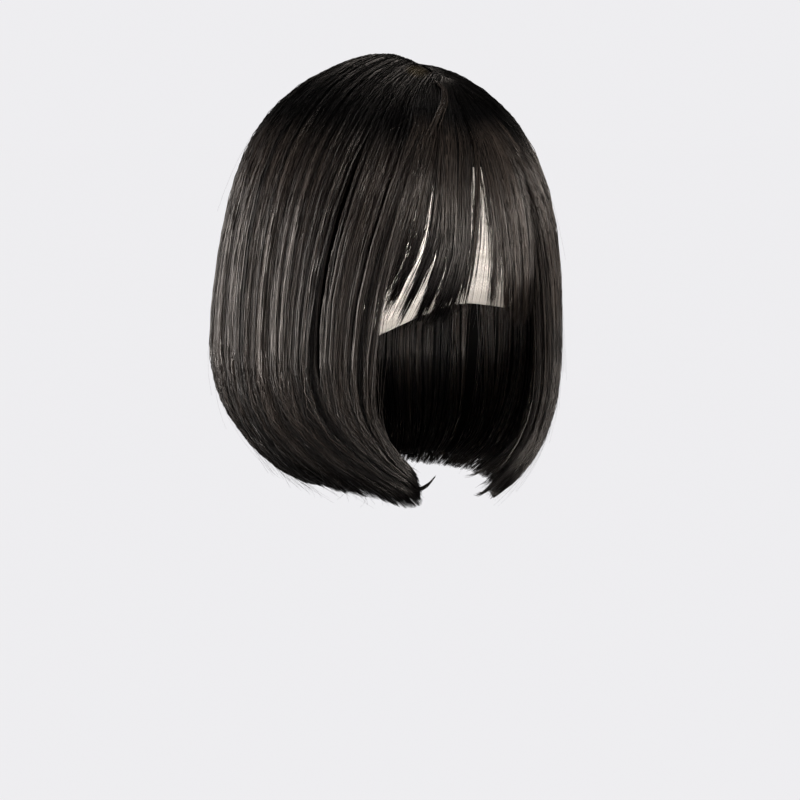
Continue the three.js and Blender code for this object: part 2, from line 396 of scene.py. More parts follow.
def waves(rng, size, count, which, along):  # slow sideways waves, shared by the strands of one lock or tuft
    strength, phase = rng.normal(0, size, count), rng.uniform(0, 1, count)
    turns = rng.uniform(0.6, 1.4, count)
    swing = np.sin(2 * np.pi * (along * column(turns[which]) + column(phase[which])))
    return column(strength[which]) * swing


def throughPoints(knots, values, x):  # smooth curves, one for each row of values
    knots, i = np.array(knots), np.clip(np.searchsorted(knots, x) - 1, 0, len(knots) - 2)
    slopes = np.gradient(values, knots, axis=1)
    pick = lambda table, step: np.take_along_axis(table, i + step, 1)
    h = knots[i + 1] - knots[i]
    t = (x - knots[i]) / h
    a, b, slopeA, slopeB = pick(values, 0), pick(values, 1), pick(slopes, 0) * h, pick(slopes, 1) * h
    return a + t * (slopeA + t * (3 * (b - a) - 2 * slopeA - slopeB + t * (2 * (a - b) + slopeA + slopeB)))


def strandGroup(mass, azimuth, along, depth, radius, tone, flows=True):
    point, normal = hairSurface(mass, *(flowed(azimuth, along) if flows else (azimuth, along)))
    return {
        "points": point - normal * depth[..., None] * mm, "normals": normal, "radius": radius * mm,
        "tone": np.clip(tone, 0, 1), "along": along,
    }


taper = {"root": 0.55, "rootOver": (0, 0.06), "tip": 0.55, "tipOver": (0.85, 1), "point": 0.4}


def tapered(rng, n, t, size):  # finer at the root, and drawn to a point at the tip
    fromRoot = taper["root"] + (1 - taper["root"]) * smooth(*taper["rootOver"], t)
    toTip = 1 - (1 - taper["tip"]) * smooth(*taper["tipOver"], t)
    radius = column(rng.uniform(*size, n)) * fromRoot * toTip
    radius[:, -1] *= taper["point"]
    return radius


# Millimetres that the strands lie below the CAD surface along the parting's ridge
ridge = {"lower": 2.05, "from": (0, 0.05), "until": (0.25, 0.08)}
groove = {"at": -59, "half": 1.25, "opens": (0.3, 0.42), "closes": (0.8, 0.68)}  # between side and face lock
lockForm = {
    "bendsApart": (0.82, 1.2), "goldenShare": 0.618,  # neighbouring strands bend at different heights
    "placing": 0.22, "halfWide": 0.6, "tightens": 0.35, "rounded": 0.003, "tuftRagged": 0.8,
    "shortShare": 0.12, "shorter": 0.14, "lockSway": 0.9, "tuftSway": 0.5, "strandSway": 0.2,
    "wander": 0.4, "farShare": 0.08, "farWander": 3.0, "wanderFrom": 0.35,
    "tuftUneven": 0.7, "tuftRound": 0.5, "outermost": -0.6, "sinkOver": 5, "tipsOut": 0.35,
    "tone": 0.5, "strandTone": 0.25, "tuftTone": 0.25, "lockTone": 0.12, "lengthensNear": (86, 64),
    # shares of the way down over which these set in
    "gatherOver": (0.62, 1), "tightenOver": (0.1, 0.5), "swayOver": (0.02, 0.3), "layersOver": (0.01, 0.22),
    "tipsOutOver": (0.75, 1), "sunkOver": (0.25, 0.5), "paintedShadeOver": (0.54, 0.66),
    "lengthensOver": (0.5, 1),
}


def lockStrands(mass, rng, plan):  # strands in tufts, tufts in locks
    form, n, locks = lockForm, plan["strands"], plan["locks"]
    tufts = locks * plan["tufts"]
    first, last = mass["start"] - plan["spill"][0], mass["end"] + plan["spill"][1]
    wide = (last - first) / locks
    lockAt = first + wide * (np.arange(locks) + 0.5 + rng.uniform(-form["placing"], form["placing"], locks))
    tuftAt = (np.arange(tufts) // locks + rng.uniform(0, 1, tufts)) / plan["tufts"] * 2 - 1
    nearest, furthest = sorted(fromFront(edge) for edge in (mass["start"], mass["end"]))
    weight = 1 - plan["thins"] * smooth(furthest, nearest, fromFront(lockAt)[np.arange(tufts) % locks])
    tuft = rng.choice(tufts, n, p=weight / weight.sum())
    lock = tuft % locks
    across = rng.uniform(-1, 1, n)
    inLock = tuftAt[tuft] + across * plan["tuftWidth"]
    early, late = form["bendsApart"]
    uneven = early + (late - early) * (np.arange(n) * form["goldenShare"] % 1)
    t = np.linspace(0, 1, plan["segments"] + 1)[None] ** column(uneven)
    root = plan["root"][0] + (plan["root"][1] - plan["root"][0]) * rng.uniform(0, 1, n) ** 1.5
    ragged = np.abs(rng.normal(0, plan["ragged"], n))
    ragged = ragged + np.abs(rng.normal(0, plan["ragged"] * form["tuftRagged"], tufts))[tuft]
    layered = (rng.uniform(0, 1, n) < form["shortShare"]) * rng.uniform(0, form["shorter"], n)
    turn = fromFront(lockAt[lock] + inLock * wide * form["halfWide"])
    forward = np.clip((furthest - turn) / max(furthest - nearest, 1), 0, 1)
    tip = plan["tip"] - ragged - layered - form["rounded"] * inLock**2 - plan["slant"] * forward**1.5
    along = column(root) + column(tip - root) * t
    gather = 1 - plan["gather"] * smooth(*form["gatherOver"], along)
    tight = 1 - form["tightens"] * smooth(*form["tightenOver"], along)
    placed = column(tuftAt[tuft]) + column(across) * plan["tuftWidth"] * tight
    azimuth = column(lockAt[lock]) + wide * form["halfWide"] * gather * placed
    wander = rng.normal(0, form["wander"], n)
    wander = wander + (rng.uniform(0, 1, n) < form["farShare"]) * rng.normal(0, form["farWander"], n)
    sway = waves(rng, form["lockSway"], locks, lock, along)
    sway = sway + waves(rng, form["tuftSway"], tufts, tuft, along)
    sway = sway + waves(rng, form["strandSway"], n, np.arange(n), along)
    sway = sway + column(wander) * (along - form["wanderFrom"])
    azimuth = azimuth + sway * smooth(*form["swayOver"], along)
    aside = azimuth - groove["at"]
    half = groove["half"] * smooth(*groove["opens"], along) * smooth(*groove["closes"], along)
    azimuth = groove["at"] + np.sign(aside.mean(1, keepdims=True)) * np.hypot(aside, half)
    near, far = plan["depth"]
    depth = near + (far - near) * rng.uniform(0, 1, n) + rng.normal(0, plan["uneven"], locks)[lock]
    depth = depth + rng.normal(0, plan["uneven"] * form["tuftUneven"], tufts)[tuft]
    depth = np.maximum(depth + plan["bulge"] * inLock**2 + form["tuftRound"] * across**2, form["outermost"])
    sunk = plan["sink"][0] * smooth(form["sinkOver"], 0, azimuth - mass["start"])
    sunk = sunk + plan["sink"][1] * smooth(form["sinkOver"], 0, mass["end"] - azimuth)
    depth = column(depth) * smooth(*form["layersOver"], along)
    depth = depth * (1 - form["tipsOut"] * smooth(*form["tipsOutOver"], along))
    depth = depth + sunk * smooth(*form["sunkOver"], along)
    depth = depth + ridge["lower"] * smooth(*ridge["from"], along) * smooth(*ridge["until"], along)
    tone = form["tone"] + form["strandTone"] * rng.normal(0, 1, n)
    tone = tone + form["tuftTone"] * rng.normal(0, 1, tufts)[tuft]
    tone = tone + form["lockTone"] * rng.normal(0, 1, locks)[lock]
    group = strandGroup(mass, azimuth, along, depth, tapered(rng, n, t, plan["radius"]), tone)
    # Pushes the along attribute on, so the tips take the fibre's painted shade sooner
    group["along"] = along + plan["darkens"] * smooth(*form["paintedShadeOver"], along)
    nearLock = smooth(*form["lengthensNear"], fromFront(azimuth))
    group["points"][..., 2] -= plan["lengthens"] * mm * nearLock * smooth(*form["lengthensOver"], along)
    return group


def rimStrands(mass, rng, plan):  # short ends that fill the lower rim
    n = int(plan["perDegree"] * (mass["end"] - mass["start"]))
    t = np.linspace(0, 1, plan["points"])[None]
    root = rng.uniform(*plan["root"], n)
    along = column(root) + column(rng.uniform(*plan["tip"], n) - root) * t
    azimuth = column(rng.uniform(mass["start"], mass["end"], n))
    azimuth = azimuth + column(rng.normal(0, plan["wander"], n)) * t
    depth = column(rng.uniform(*plan["depth"], n)) * (1 - plan["tipsOut"] * t)
    radius = tapered(rng, n, t, plan["radius"])
    return strandGroup(mass, azimuth, along, depth, radius, rng.uniform(*plan["tone"], n))


def bridgeStrands(mass, rng, plan):  # hair drawn back from both sides over the end of the parting
    n = plan["strands"]
    t = np.linspace(0, 1, plan["points"])[None]
    side = np.where(rng.uniform(0, 1, n) < plan["rightShare"], -1, 1)
    begin, out = hairSurface(mass, side * rng.uniform(*plan["from"], n), rng.uniform(*plan["root"], n))
    begin = (begin - out * plan["sunk"] * mm)[:, None]
    along = column(rng.uniform(*plan["tip"], n)) * t ** plan["quickens"]
    azimuth = column(rng.normal(180, plan["spread"], n)) + waves(rng, plan["sway"], n, np.arange(n), along)
    depth = column(rng.uniform(*plan["depth"], n))
    radius = tapered(rng, n, t, plan["radius"])
    group = strandGroup(mass, azimuth, along, depth, radius, rng.uniform(*plan["tone"], n))
    meets = hairPoint(mass, azimuth[:, :1], np.full((n, 1), plan["meets"]))
    straight = begin + (meets - begin) * np.clip(along / plan["meets"], 0, 1)[..., None]
    settled = smooth(0, plan["meets"], along)[..., None]
    group["points"] = straight * (1 - settled) + group["points"] * settled
    return group


def strays(mass, rng, plan):  # loose single hairs that leave the surface
    n = plan["strands"]
    t = np.linspace(0, 1, plan["points"])[None]
    root = rng.uniform(*plan["root"], n)
    tip = np.minimum(root + rng.uniform(*plan["length"], n), 1)
    along = column(root) + column(tip - root) * t
    azimuth = column(rng.uniform(*plan.get("azimuth", (mass["start"], mass["end"])), n))
    azimuth = azimuth + column(rng.normal(0, plan["turns"], n)) * t**1.5
    depth = plan["sunk"] - column(rng.uniform(*plan["leaves"], n)) * t**1.7
    radius = column(rng.uniform(*plan["radius"], n)) * (1 - plan["thins"] * t)
    return strandGroup(mass, azimuth, along, depth, radius, np.full(n, plan["tone"]))


def wisps(mass, rng, plan):  # thin see-through strands at the edge of the face opening
    n = plan["strands"]
    t = np.linspace(0, 1, plan["points"])[None]
    root = rng.uniform(*plan["root"], n)
    along = column(root) + column(rng.uniform(*plan["tip"], n) - root) * t
    together = 1 - plan["gather"] * smooth(*plan["gatherOver"], t)
    middle = sum(plan["azimuth"]) / 2
    azimuth = middle + (column(rng.uniform(*plan["azimuth"], n)) - middle) * together
    azimuth = azimuth + waves(rng, plan["sway"], n, np.arange(n), along) * together
    azimuth, lies = flowed(azimuth, along)
    wander = column(rng.normal(plan["forward"], plan["wander"], n))
    azimuth = azimuth + wander * smooth(*plan["turns"], along)
    depth = column(rng.uniform(*plan["depth"], n)) * smooth(*plan["depthOver"], along) * together
    radius = tapered(rng, n, t, plan["radius"])
    group = strandGroup(mass, azimuth, lies, depth, radius, rng.uniform(*plan["tone"], n), flows=False)
    group["points"][..., 2] += column(rng.uniform(*plan["curl"], n)) * mm * t**10
    return group


def hookStrands(mass, rng, plan):  # a thin tip of the lock that curls by itself
    n = plan["strands"]
    t = np.linspace(0, 1, plan["points"])[None] * column(rng.uniform(*plan["reach"], n))
    narrow = 1 - plan["narrows"] * smooth(*plan["narrowsOver"], t)
    azimuth, along, inward = (
        throughPoints(plan["at"], np.tile(plan[name], (n, 1)), t) for name in ("turn", "down", "inward")
    )
    azimuth = azimuth + column(rng.uniform(-1, 1, n)) * plan["spread"] * narrow
    along = along + column(rng.normal(0, plan["uneven"], n)) * narrow
    depth = inward + column(rng.uniform(*plan["depth"], n)) * narrow
    radius = tapered(rng, n, t, plan["radius"])
    return strandGroup(mass, azimuth, along, depth, radius, rng.uniform(*plan["tone"], n), flows=False)


def underHair(mass, plan):  # packed hair under the strands, as a closed sheet
    columns, rows = plan["grid"]
    azimuth = np.linspace(mass["start"] - plan["ends"][0], mass["end"] + plan["ends"][1], columns)[:, None]
    along = np.linspace(*plan["span"], rows)[None]
    azimuth, along = np.broadcast_arrays(azimuth, along)
    point, normal = hairSurface(mass, azimuth, along)
    tipsOut = 1 - plan["tipsOut"] * smooth(*plan["tipsOutOver"], along)
    ramp = (smooth(*plan["sinksOver"], along) * tipsOut)[..., None] * mm
    return tuple(point - normal * depth * ramp for depth in plan["depths"])


# Hair fibre: each strand with its own tone; near-black at the root, also as painted shade over the crown; a
# brown band below, partly the fibre's colour and partly painted sheen; painted shade at the tips
fibre = {
    # root is the near-black of the roots and also the painted shade of the crown and of the tips
    "dark": rgb(0.003, 0.0026, 0.0026), "light": rgb(0.058, 0.046, 0.039), "root": rgb(0.003, 0.003, 0.0032),
    # lightens: where the painted sheen band starts; fades and fade: the painted shade towards the tips,
    # which lighter strands reach lower
    "lightens": (0.3, 0.41), "fades": (0.57, 0.77), "fade": 0.85, "lightFadesLower": 0.16,
    # crownShadeMetal: metallic near the root, so the crown reflects only its near-black colour, a painted
    # shade
    "roughness": 0.36, "smoother": 0.14, "rootRougher": 0.18, "crownShadeMetal": 0.8,
    "rootRoughOver": (0.36, 0.2), "crownShadeMetalOver": (0.36, 0.22),
}
scalp = {  # the tint that shows between the roots at the front of the parting, in metres
    "at": (-0.007, -0.04, 0.0005), "reach": (0.009, 0.003), "colour": rgb(0.042, 0.031, 0.013),
}


def hairMaterial():
    g = newMaterial("hairFibre")
    tone, along = g.attribute("tone"), g.attribute("along")
    # Painted light along each strand: shade over the crown, a sheen band below it, shade again at the tips
    paintedTipShade = g.ramp(along - fibre["lightFadesLower"] * tone, *fibre["fades"])
    paintedSheen = g.ramp(along, *fibre["lightens"]) * (1 - fibre["fade"] * paintedTipShade)
    strand = g.mix(tone, fibre["dark"], fibre["light"])
    base = g.mix(paintedSheen, fibre["root"], strand)
    places = {0: g.place(), 1: scalp["at"]}
    apart = g.node("ShaderNodeVectorMath", {"operation": "DISTANCE"}, places, output="Value")
    base = g.mix(g.ramp(apart, *scalp["reach"]), base, scalp["colour"])
    nearRoot = g.ramp(along, *fibre["rootRoughOver"])
    return g.principled(
        Base_Color=base, Specular_IOR_Level=0.5, Specular_Tint=rgb(1.0, 0.94, 0.9),
        Roughness=fibre["roughness"] - fibre["smoother"] * tone + fibre["rootRougher"] * nearRoot,
        # Metallic near the root darkens the crown's reflection to its near-black colour: painted shade
        Metallic=fibre["crownShadeMetal"] * g.ramp(along, *fibre["crownShadeMetalOver"]),
    )


def packedMaterial():  # the dark between the strands, finely streaked
    g = newMaterial("packedHair")
    stretched = g.node("ShaderNodeMapping", None, {"Vector": g.place(), "Scale": (900, 900, 30)})
    streaks = g.noise(stretched, 1.0)
    base = g.mix(streaks, rgb(0.0012, 0.0011, 0.0011), rgb(0.004, 0.0036, 0.0035))
    return g.principled(Base_Color=base, Roughness=0.95, Specular_IOR_Level=0.1)


hairFibre, packedHair = hairMaterial(), packedMaterial()

outerHair = {
    "segments": 13, "locks": 11, "tufts": 6, "tuftWidth": 0.34, "root": (0.004, 0.045), "tip": 1.0,
    "ragged": 0.005, "slant": 0, "gather": 0.1, "depth": (0.1, 3.4), "uneven": 0.5, "bulge": 0.9,
    "sink": (0, 0), "thins": 0, "radius": (0.15, 0.27), "spill": (1, 1), "darkens": 0, "lengthens": 0,
}
sideHair = {**outerHair, "spill": (3, 3)}
lockHair = {**outerHair, "locks": 5, "gather": 0.3, "slant": 0.03, "spill": (4, 1)}
innerHair = {
    **outerHair, "strands": 270, "segments": 10, "tufts": 4, "root": (0.32, 0.44), "tip": 0.99,
    "ragged": 0.012, "depth": (7.5, 11), "radius": (0.2, 0.34),
}
lockInner = {**innerHair, "strands": 160, "locks": 5}
rimHair = {
    "perDegree": 4, "points": 6, "root": (0.78, 0.86), "tip": (0.965, 1.0), "depth": (0.8, 5.0),
    "radius": (0.16, 0.28), "wander": 1.5, "tipsOut": 0.4, "tone": (0.1, 0.7),
}
rightWisps = {
    "strands": 60, "points": 14, "root": (0.28, 0.4), "tip": (0.84, 0.94), "azimuth": (-48, -36),
    "forward": 0, "turns": (0.72, 0.95), "depth": (0, 7), "radius": (0.07, 0.14), "curl": (0, 3),
    "gather": 0.3, "gatherOver": (0.5, 1), "sway": 1.6, "wander": 2.5, "depthOver": (0.25, 0.6),
    "tone": (0.2, 0.8),
}
leftWisps = {
    **rightWisps, "strands": 220, "root": (0.4, 0.5), "tip": (0.9, 1.0), "azimuth": (32, 48), "forward": -3,
    "depth": (2, 12), "radius": (0.11, 0.21), "curl": (0, 4), "gather": 0.2,
}

# Tips that curl by themselves: degrees round, share of the way down and millimetres in, by share of length
rightHook = {
    "at": [0, 0.35, 0.6, 0.75, 0.88, 1.0], "turn": [-54.0, -53, -49, -43, -31, -21],
    "down": [0.55, 0.72, 0.845, 0.9, 0.885, 0.85], "inward": [0.0, 0, 0, 0, 0, 0], "reach": (0.92, 1.0),
    "spread": 2.1, "narrows": 0.92, "uneven": 0.008, "strands": 46, "points": 17, "depth": (0.5, 2.5),
    "radius": (0.12, 0.2), "narrowsOver": (0.5, 1), "tone": (0.1, 0.6),
}
rightTip = {
    **rightHook, "turn": [-47.0, -45, -44.2, -44.8, -45, -43], "down": [0.6, 0.75, 0.85, 0.89, 0.925, 0.962],
    "reach": (0.93, 1.0), "spread": 1.2, "narrows": 0.5, "strands": 14,
}
leftHook = {
    **rightHook, "turn": [40.0, 37, 31, 28, 24, 12], "down": [0.6, 0.78, 0.9, 0.945, 0.972, 0.955],
    "inward": [2.0, 3, 4, 4, 4, 4], "reach": (0.84, 1.0), "spread": 6, "narrows": 0.6, "uneven": 0.012,
    "strands": 40,
}
leftCurl = {
    **rightHook, "turn": [40.0, 38, 36, 35, 24, 7], "down": [0.65, 0.78, 0.88, 0.935, 0.96, 0.95],
    "inward": [5.0, 9, 14, 15.4, 16, 16], "reach": (0.84, 1.0), "spread": 3.5, "narrows": 0.5, "strands": 18,
    "radius": (0.08, 0.14),
}
bridge = {
    "strands": 130, "points": 15, "rightShare": 0.65, "from": (85, 128), "root": (0.008, 0.045),
    "meets": 0.09, "spread": 13, "tip": (0.8, 0.95), "depth": (-0.2, 1.2), "radius": (0.15, 0.27),
    "sunk": 3.0, "sway": 1.0, "quickens": 1.6, "tone": (0.1, 0.8),
}
strayHair = {
    "strands": 28, "points": 9, "root": (0.15, 0.8), "length": (0.15, 0.4), "leaves": (1.5, 7), "turns": 5,
    "radius": (0.045, 0.07), "sunk": 1.5, "thins": 0.5, "tone": 0.5,
}
edgeHair = {
    **strayHair, "strands": 60, "root": (0.78, 0.86), "length": (0.1, 0.2), "leaves": (3, 9),
    "radius": (0.06, 0.1), "azimuth": (-112, -72),
}
packed = {
    "depths": (5.0, 7.0), "span": (0.02, 0.93), "ends": (0.6, 0.6), "grid": (40, 40),
    "sinksOver": (-0.03, 0.12), "tipsOut": 0.4, "tipsOutOver": (0.75, 1),
}
hairPlans = {
    "back_hair": {
        "outer": {**sideHair, "strands": 1620, "locks": 18},
        "inner": {**innerHair, "strands": 420, "locks": 18},
        "bridges": [bridge], "packed": {**packed, "span": (0.02, 0.972)},
    },
    "left_side_hair": {
        "outer": {**sideHair, "strands": 1500}, "inner": {**innerHair, "strands": 200},
        "packed": {**packed, "span": (0.02, 0.95), "ends": (3, 0.6)},
    },
    "right_side_hair": {
        "outer": {**sideHair, "strands": 1800, "lengthens": 6}, "inner": innerHair, "edges": [edgeHair],
        "packed": {**packed, "ends": (0.6, 3)},
    },
    "left_face_lock": {
        # The left face lock's lower part takes more painted shade
        "outer": {**lockHair, "strands": 1000, "sink": (0, 2.5), "darkens": 0.3}, "inner": lockInner,
        "wisps": [leftWisps], "hooks": [leftHook, leftCurl], "packed": {**packed, "span": (0.02, 0.9)},
    },
    "right_face_lock": {
        "outer": {**lockHair, "strands": 1200, "sink": (2.5, 0), "thins": 0.8}, "inner": lockInner,
        "wisps": [rightWisps], "hooks": [rightHook, rightTip],
        "packed": {**packed, "span": (0.02, 0.86), "ends": (0.4, -9)},
    },
}
extras = {"wisps": wisps, "edges": strays, "hooks": hookStrands, "bridges": bridgeStrands}
lockSeed, fringeSeed = 100, 200

for number, (name, plan) in enumerate(hairPlans.items()):
    rng = np.random.default_rng(lockSeed + number)
    mass = masses[name]
    groups = [
        lockStrands(mass, rng, plan["outer"]), lockStrands(mass, rng, plan["inner"]),
        rimStrands(mass, rng, rimHair), strays(mass, rng, strayHair),
    ]
    for kind, make in extras.items():
        groups += [make(mass, rng, settings) for settings in plan.get(kind, [])]
    hairPiece(name + "_strands", name, groups, underHair(mass, plan["packed"]))

# Fringe: clumps that spread from the front of the parting and bend to the wearer's right at their tips.
# Each row gives the degrees where a clump lies at those shares of the way down, its half width, how many
# strands it has and how far down it reaches.
fringePlan = {
    "at": [0, 0.265, 0.55, 0.705, 0.83, 0.92, 1.0],
    "clumps": [
        ([-30, -31, -32, -40, -47, -52, -56], 2.6, 90, 0.93),
        ([-26, -26.5, -27.5, -36, -43.5, -49, -53], 2.6, 120, 0.95),
        ([-23, -24, -24.5, -31, -38.5, -45.5, -50.5], 2.0, 110, 0.95),
        ([-21, -21.5, -21.5, -28.5, -35.5, -43.5, -49], 1.6, 22, 0.95),
        ([-19, -19, -19.5, -25.5, -32, -41, -47], 1.6, 100, 0.955),
        ([-16, -16, -17, -20.5, -26, -34, -41], 2.2, 150, 0.965),
        ([-13, -13, -14, -17.5, -21, -27, -34], 2.3, 200, 0.975),
        ([-10, -10, -10.5, -14, -16, -21, -28.5], 2.2, 200, 0.985),
        ([-6.5, -6.5, -6.5, -9.5, -12, -17, -23], 1.8, 150, 0.98),
        ([-4, -4, -4, -7.5, -10, -14, -19], 1.0, 40, 0.97),
        ([0.5, 0.5, 0.5, -3, -6.5, -10.5, -14], 0.9, 44, 0.95),
        ([3, 3, 3, 2.5, 3.5, 2, -1], 2.1, 60, 0.955),
        ([6, 6, 6.5, 7.5, 9.5, 10.5, 10], 2.5, 130, 0.97),
        ([9.5, 9.5, 11, 13, 16, 17.5, 18], 2.9, 200, 0.985),
        ([13, 13, 15, 19.5, 24, 26, 26], 2.8, 230, 0.985),
        ([18, 18, 21, 27, 31, 32.5, 32], 3.0, 200, 0.97),
        ([23, 23, 27, 34, 38, 39, 38], 3.0, 150, 0.95),
    ],
    # darkens: the clumps to the wearer's right take the fibre's painted shade at their tips sooner
    "shareOfCurtain": 0.78, "darkens": 0.32, "paintedShadeOver": (0.62, 0.82), "paintedShadeRight": (4, -8),
    "lengthens": 5, "lengthensOver": (0.55, 1), "opens": 0.9, "opensOver": (0.74, 0.3), "closes": 0.6,
    "closesOver": (0.6, 1), "clumpSway": 0.5, "strandSway": 0.45, "swayOver": (0.1, 0.5), "wander": 1.1,
    "wanderOver": (0.5, 1), "bulge": 0.8, "uneven": 0.4, "outermost": -0.5, "layersOver": (-0.02, 0.15),
    "segments": 12, "streaks": 6, "radius": (0.15, 0.28), "depth": (0.1, 2.8),
    "root": (0.004, 0.09), "ragged": 0.018, "rounded": 0.02, "shortShare": 0.18, "shorter": (0, 0.12),
    "longShare": 0.16, "longer": (0.01, 0.05), "tone": 0.45, "strandTone": 0.2, "streakTone": 0.3,
    "packed": {**packed, "span": (0.02, 0.42), "ends": (0.4, 0.4), "grid": (40, 20)},
    "loose": {
        "strands": 420, "points": 11, "radius": (0.06, 0.11), "root": (0.1, 0.3), "tip": (0.84, 1.0),
        "sway": 0.7, "wander": 1.6, "depth": (0, 3), "tone": (0.2, 0.8),
    },
}


def fringeStrands(mass, rng, plan):
    paths, halves, count, tips = zip(*plan["clumps"])
    lock = np.repeat(np.arange(len(count)), count)
    n = len(lock)
    across = rng.uniform(-1, 1, n)
    path, half = np.array(paths, float)[lock], np.array(halves)[lock]
    tip = np.array(tips)[lock] - np.abs(rng.normal(0, plan["ragged"], n)) - plan["rounded"] * across**2
    tip = tip - (rng.uniform(0, 1, n) < plan["shortShare"]) * rng.uniform(*plan["shorter"], n)
    tip = np.minimum(tip + (rng.uniform(0, 1, n) < plan["longShare"]) * rng.uniform(*plan["longer"], n), 1)
    root = rng.uniform(*plan["root"], n)
    t = np.linspace(0, 1, plan["segments"] + 1)[None]
    along = column(root) + column(tip - root) * t
    spread = 1 + plan["opens"] * smooth(*plan["opensOver"], along)
    spread = spread * (1 - plan["closes"] * smooth(*plan["closesOver"], along))
    azimuth = throughPoints(plan["at"], path, along) + column(across * half) * spread
    sway = waves(rng, plan["clumpSway"], len(count), lock, along)
    sway = sway + waves(rng, plan["strandSway"], n, np.arange(n), along)
    wander = column(rng.normal(0, plan["wander"], n)) * smooth(*plan["wanderOver"], along)
    azimuth = azimuth + (sway + wander) * smooth(*plan["swayOver"], along)
    near, far = plan["depth"]
    depth = near + (far - near) * rng.uniform(0, 1, n) + plan["bulge"] * across**2
    depth = depth + rng.normal(0, plan["uneven"], len(count))[lock]
    depth = column(np.maximum(depth, plan["outermost"])) * smooth(*plan["layersOver"], along)
    streaks = plan["streaks"]
    streak = lock * streaks + np.minimum((across + 1) / 2 * streaks, streaks - 1).astype(int)
    tone = plan["tone"] + plan["strandTone"] * rng.normal(0, 1, n)
    tone = tone + plan["streakTone"] * rng.normal(0, 1, len(count) * streaks)[streak]
    radius = tapered(rng, n, t, plan["radius"])
    group = strandGroup(mass, azimuth, along, depth, radius, tone, flows=False)
    # Painted shade at the tips of the clumps to the wearer's right
    right = smooth(*plan["paintedShadeRight"], path[:, :1])
    group["along"] = along + plan["darkens"] * smooth(*plan["paintedShadeOver"], along) * right
    group["points"][..., 2] -= plan["lengthens"] * mm * smooth(*plan["lengthensOver"], along)
    return group


def looseFringe(mass, rng, plan):  # fine single hairs between the clumps
    loose = plan["loose"]
    n = loose["strands"]
    t = np.linspace(0, 1, loose["points"])[None]
    paths = np.array([clump[0] for clump in plan["clumps"]], float)
    between = rng.uniform(0, len(paths) - 1, n)
    left = between.astype(int)
    share = column(between - left)
    path = paths[left] * (1 - share) + paths[left + 1] * share
    root = rng.uniform(*loose["root"], n)
    along = column(root) + column(rng.uniform(*loose["tip"], n) - root) * t
    azimuth = throughPoints(plan["at"], path, along) + waves(rng, loose["sway"], n, np.arange(n), along)
    azimuth = azimuth + column(rng.normal(0, loose["wander"], n)) * smooth(*plan["wanderOver"], along)
    radius = tapered(rng, n, t, loose["radius"])
    depth = column(rng.uniform(*loose["depth"], n))
    group = strandGroup(mass, azimuth, along, depth, radius, rng.uniform(*loose["tone"], n), flows=False)
    group["points"][..., 2] -= plan["lengthens"] * mm * smooth(*plan["lengthensOver"], along)
    return group


whorl = {
    "at": [0.17, 0.21, 0.245, 0.3, 0.4, 0.52, 0.62], "path": [-31.0, -25, -16, -14, -18, -23.5, -27],
    # paintedSheen: a share of the way down in the painted sheen band, given to every whorl strand as a
    # painted highlight
    "strands": 24, "points": 15, "spread": 4.5, "tip": (0.4, 0.62), "sunk": 4, "stands": 4.8, "paintedSheen": 0.4,
    "radius": (0.1, 0.18), "narrows": 0.4, "narrowsOver": (0, 0.4), "rises": (0, 0.2), "dips": (1, 0.75),
    "uneven": 0.5, "tone": (0.4, 1),
}


def whorlStrands(mass, rng, plan):  # a turn of hair at the front end of the parting
    n = plan["strands"]
    t = np.linspace(0, 1, plan["points"])[None]
    along = plan["at"][0] + column(rng.uniform(*plan["tip"], n) - plan["at"][0]) * t
    narrow = 1 - plan["narrows"] * smooth(*plan["narrowsOver"], t)
    spread = column(rng.uniform(-1, 1, n)) * plan["spread"] * narrow
    azimuth = throughPoints(plan["at"], np.tile(plan["path"], (n, 1)), along) + spread
    depth = plan["sunk"] - plan["stands"] * smooth(*plan["rises"], t) * smooth(*plan["dips"], t)
    depth = depth + column(rng.uniform(0, plan["uneven"], n))
    radius = tapered(rng, n, t, plan["radius"])
    group = strandGroup(mass, azimuth, along, depth, radius, rng.uniform(*plan["tone"], n), flows=False)
    # Every whorl strand takes the painted sheen all along, so it stands lighter than the crown's painted
    # shade as a painted highlight
    group["along"] = np.full_like(along, plan["paintedSheen"] / fringePlan["shareOfCurtain"])
    return group


rng = np.random.default_rng(fringeSeed)
fringeMass = masses["bangs"]
fringeGroups = [
    fringeStrands(fringeMass, rng, fringePlan), looseFringe(fringeMass, rng, fringePlan),
    strays(fringeMass, rng, strayHair), whorlStrands(fringeMass, rng, whorl),
]
# The fringe's along attribute is scaled so that the fibre's painted sheen and shade fall at the right
# heights
for group in fringeGroups:
    group["along"] = group["along"] * fringePlan["shareOfCurtain"]
hairPiece("bangs_strands", "bangs", fringeGroups, underHair(fringeMass, fringePlan["packed"]))
print("hair is done")

# Cap: a dome of stretch net, with rows of sewn weft inside and a bound hem
capForm = {"halfWidth": 77, "halfDepth": 97, "dome": 100, "taper": 0.08, "taperOver": 50}
capPlan = {
    "wall": 1.2, "frontHem": -54, "earHem": -142, "napeHem": -170, "toEar": (34, 80), "toNape": (100, 165),
    "columns": 108, "rows": 84, "weftEvery": 11, "weftFrom": 30, "weftFade": 2, "weftHigh": 0.5,
    "weftWide": 1.1, "hemWide": 5, "hemFade": 0.8, "hemThick": 0.3, "rootsAt": (6, -44),
    "rootsReach": (11, 6), "weld": 2e-6,
}


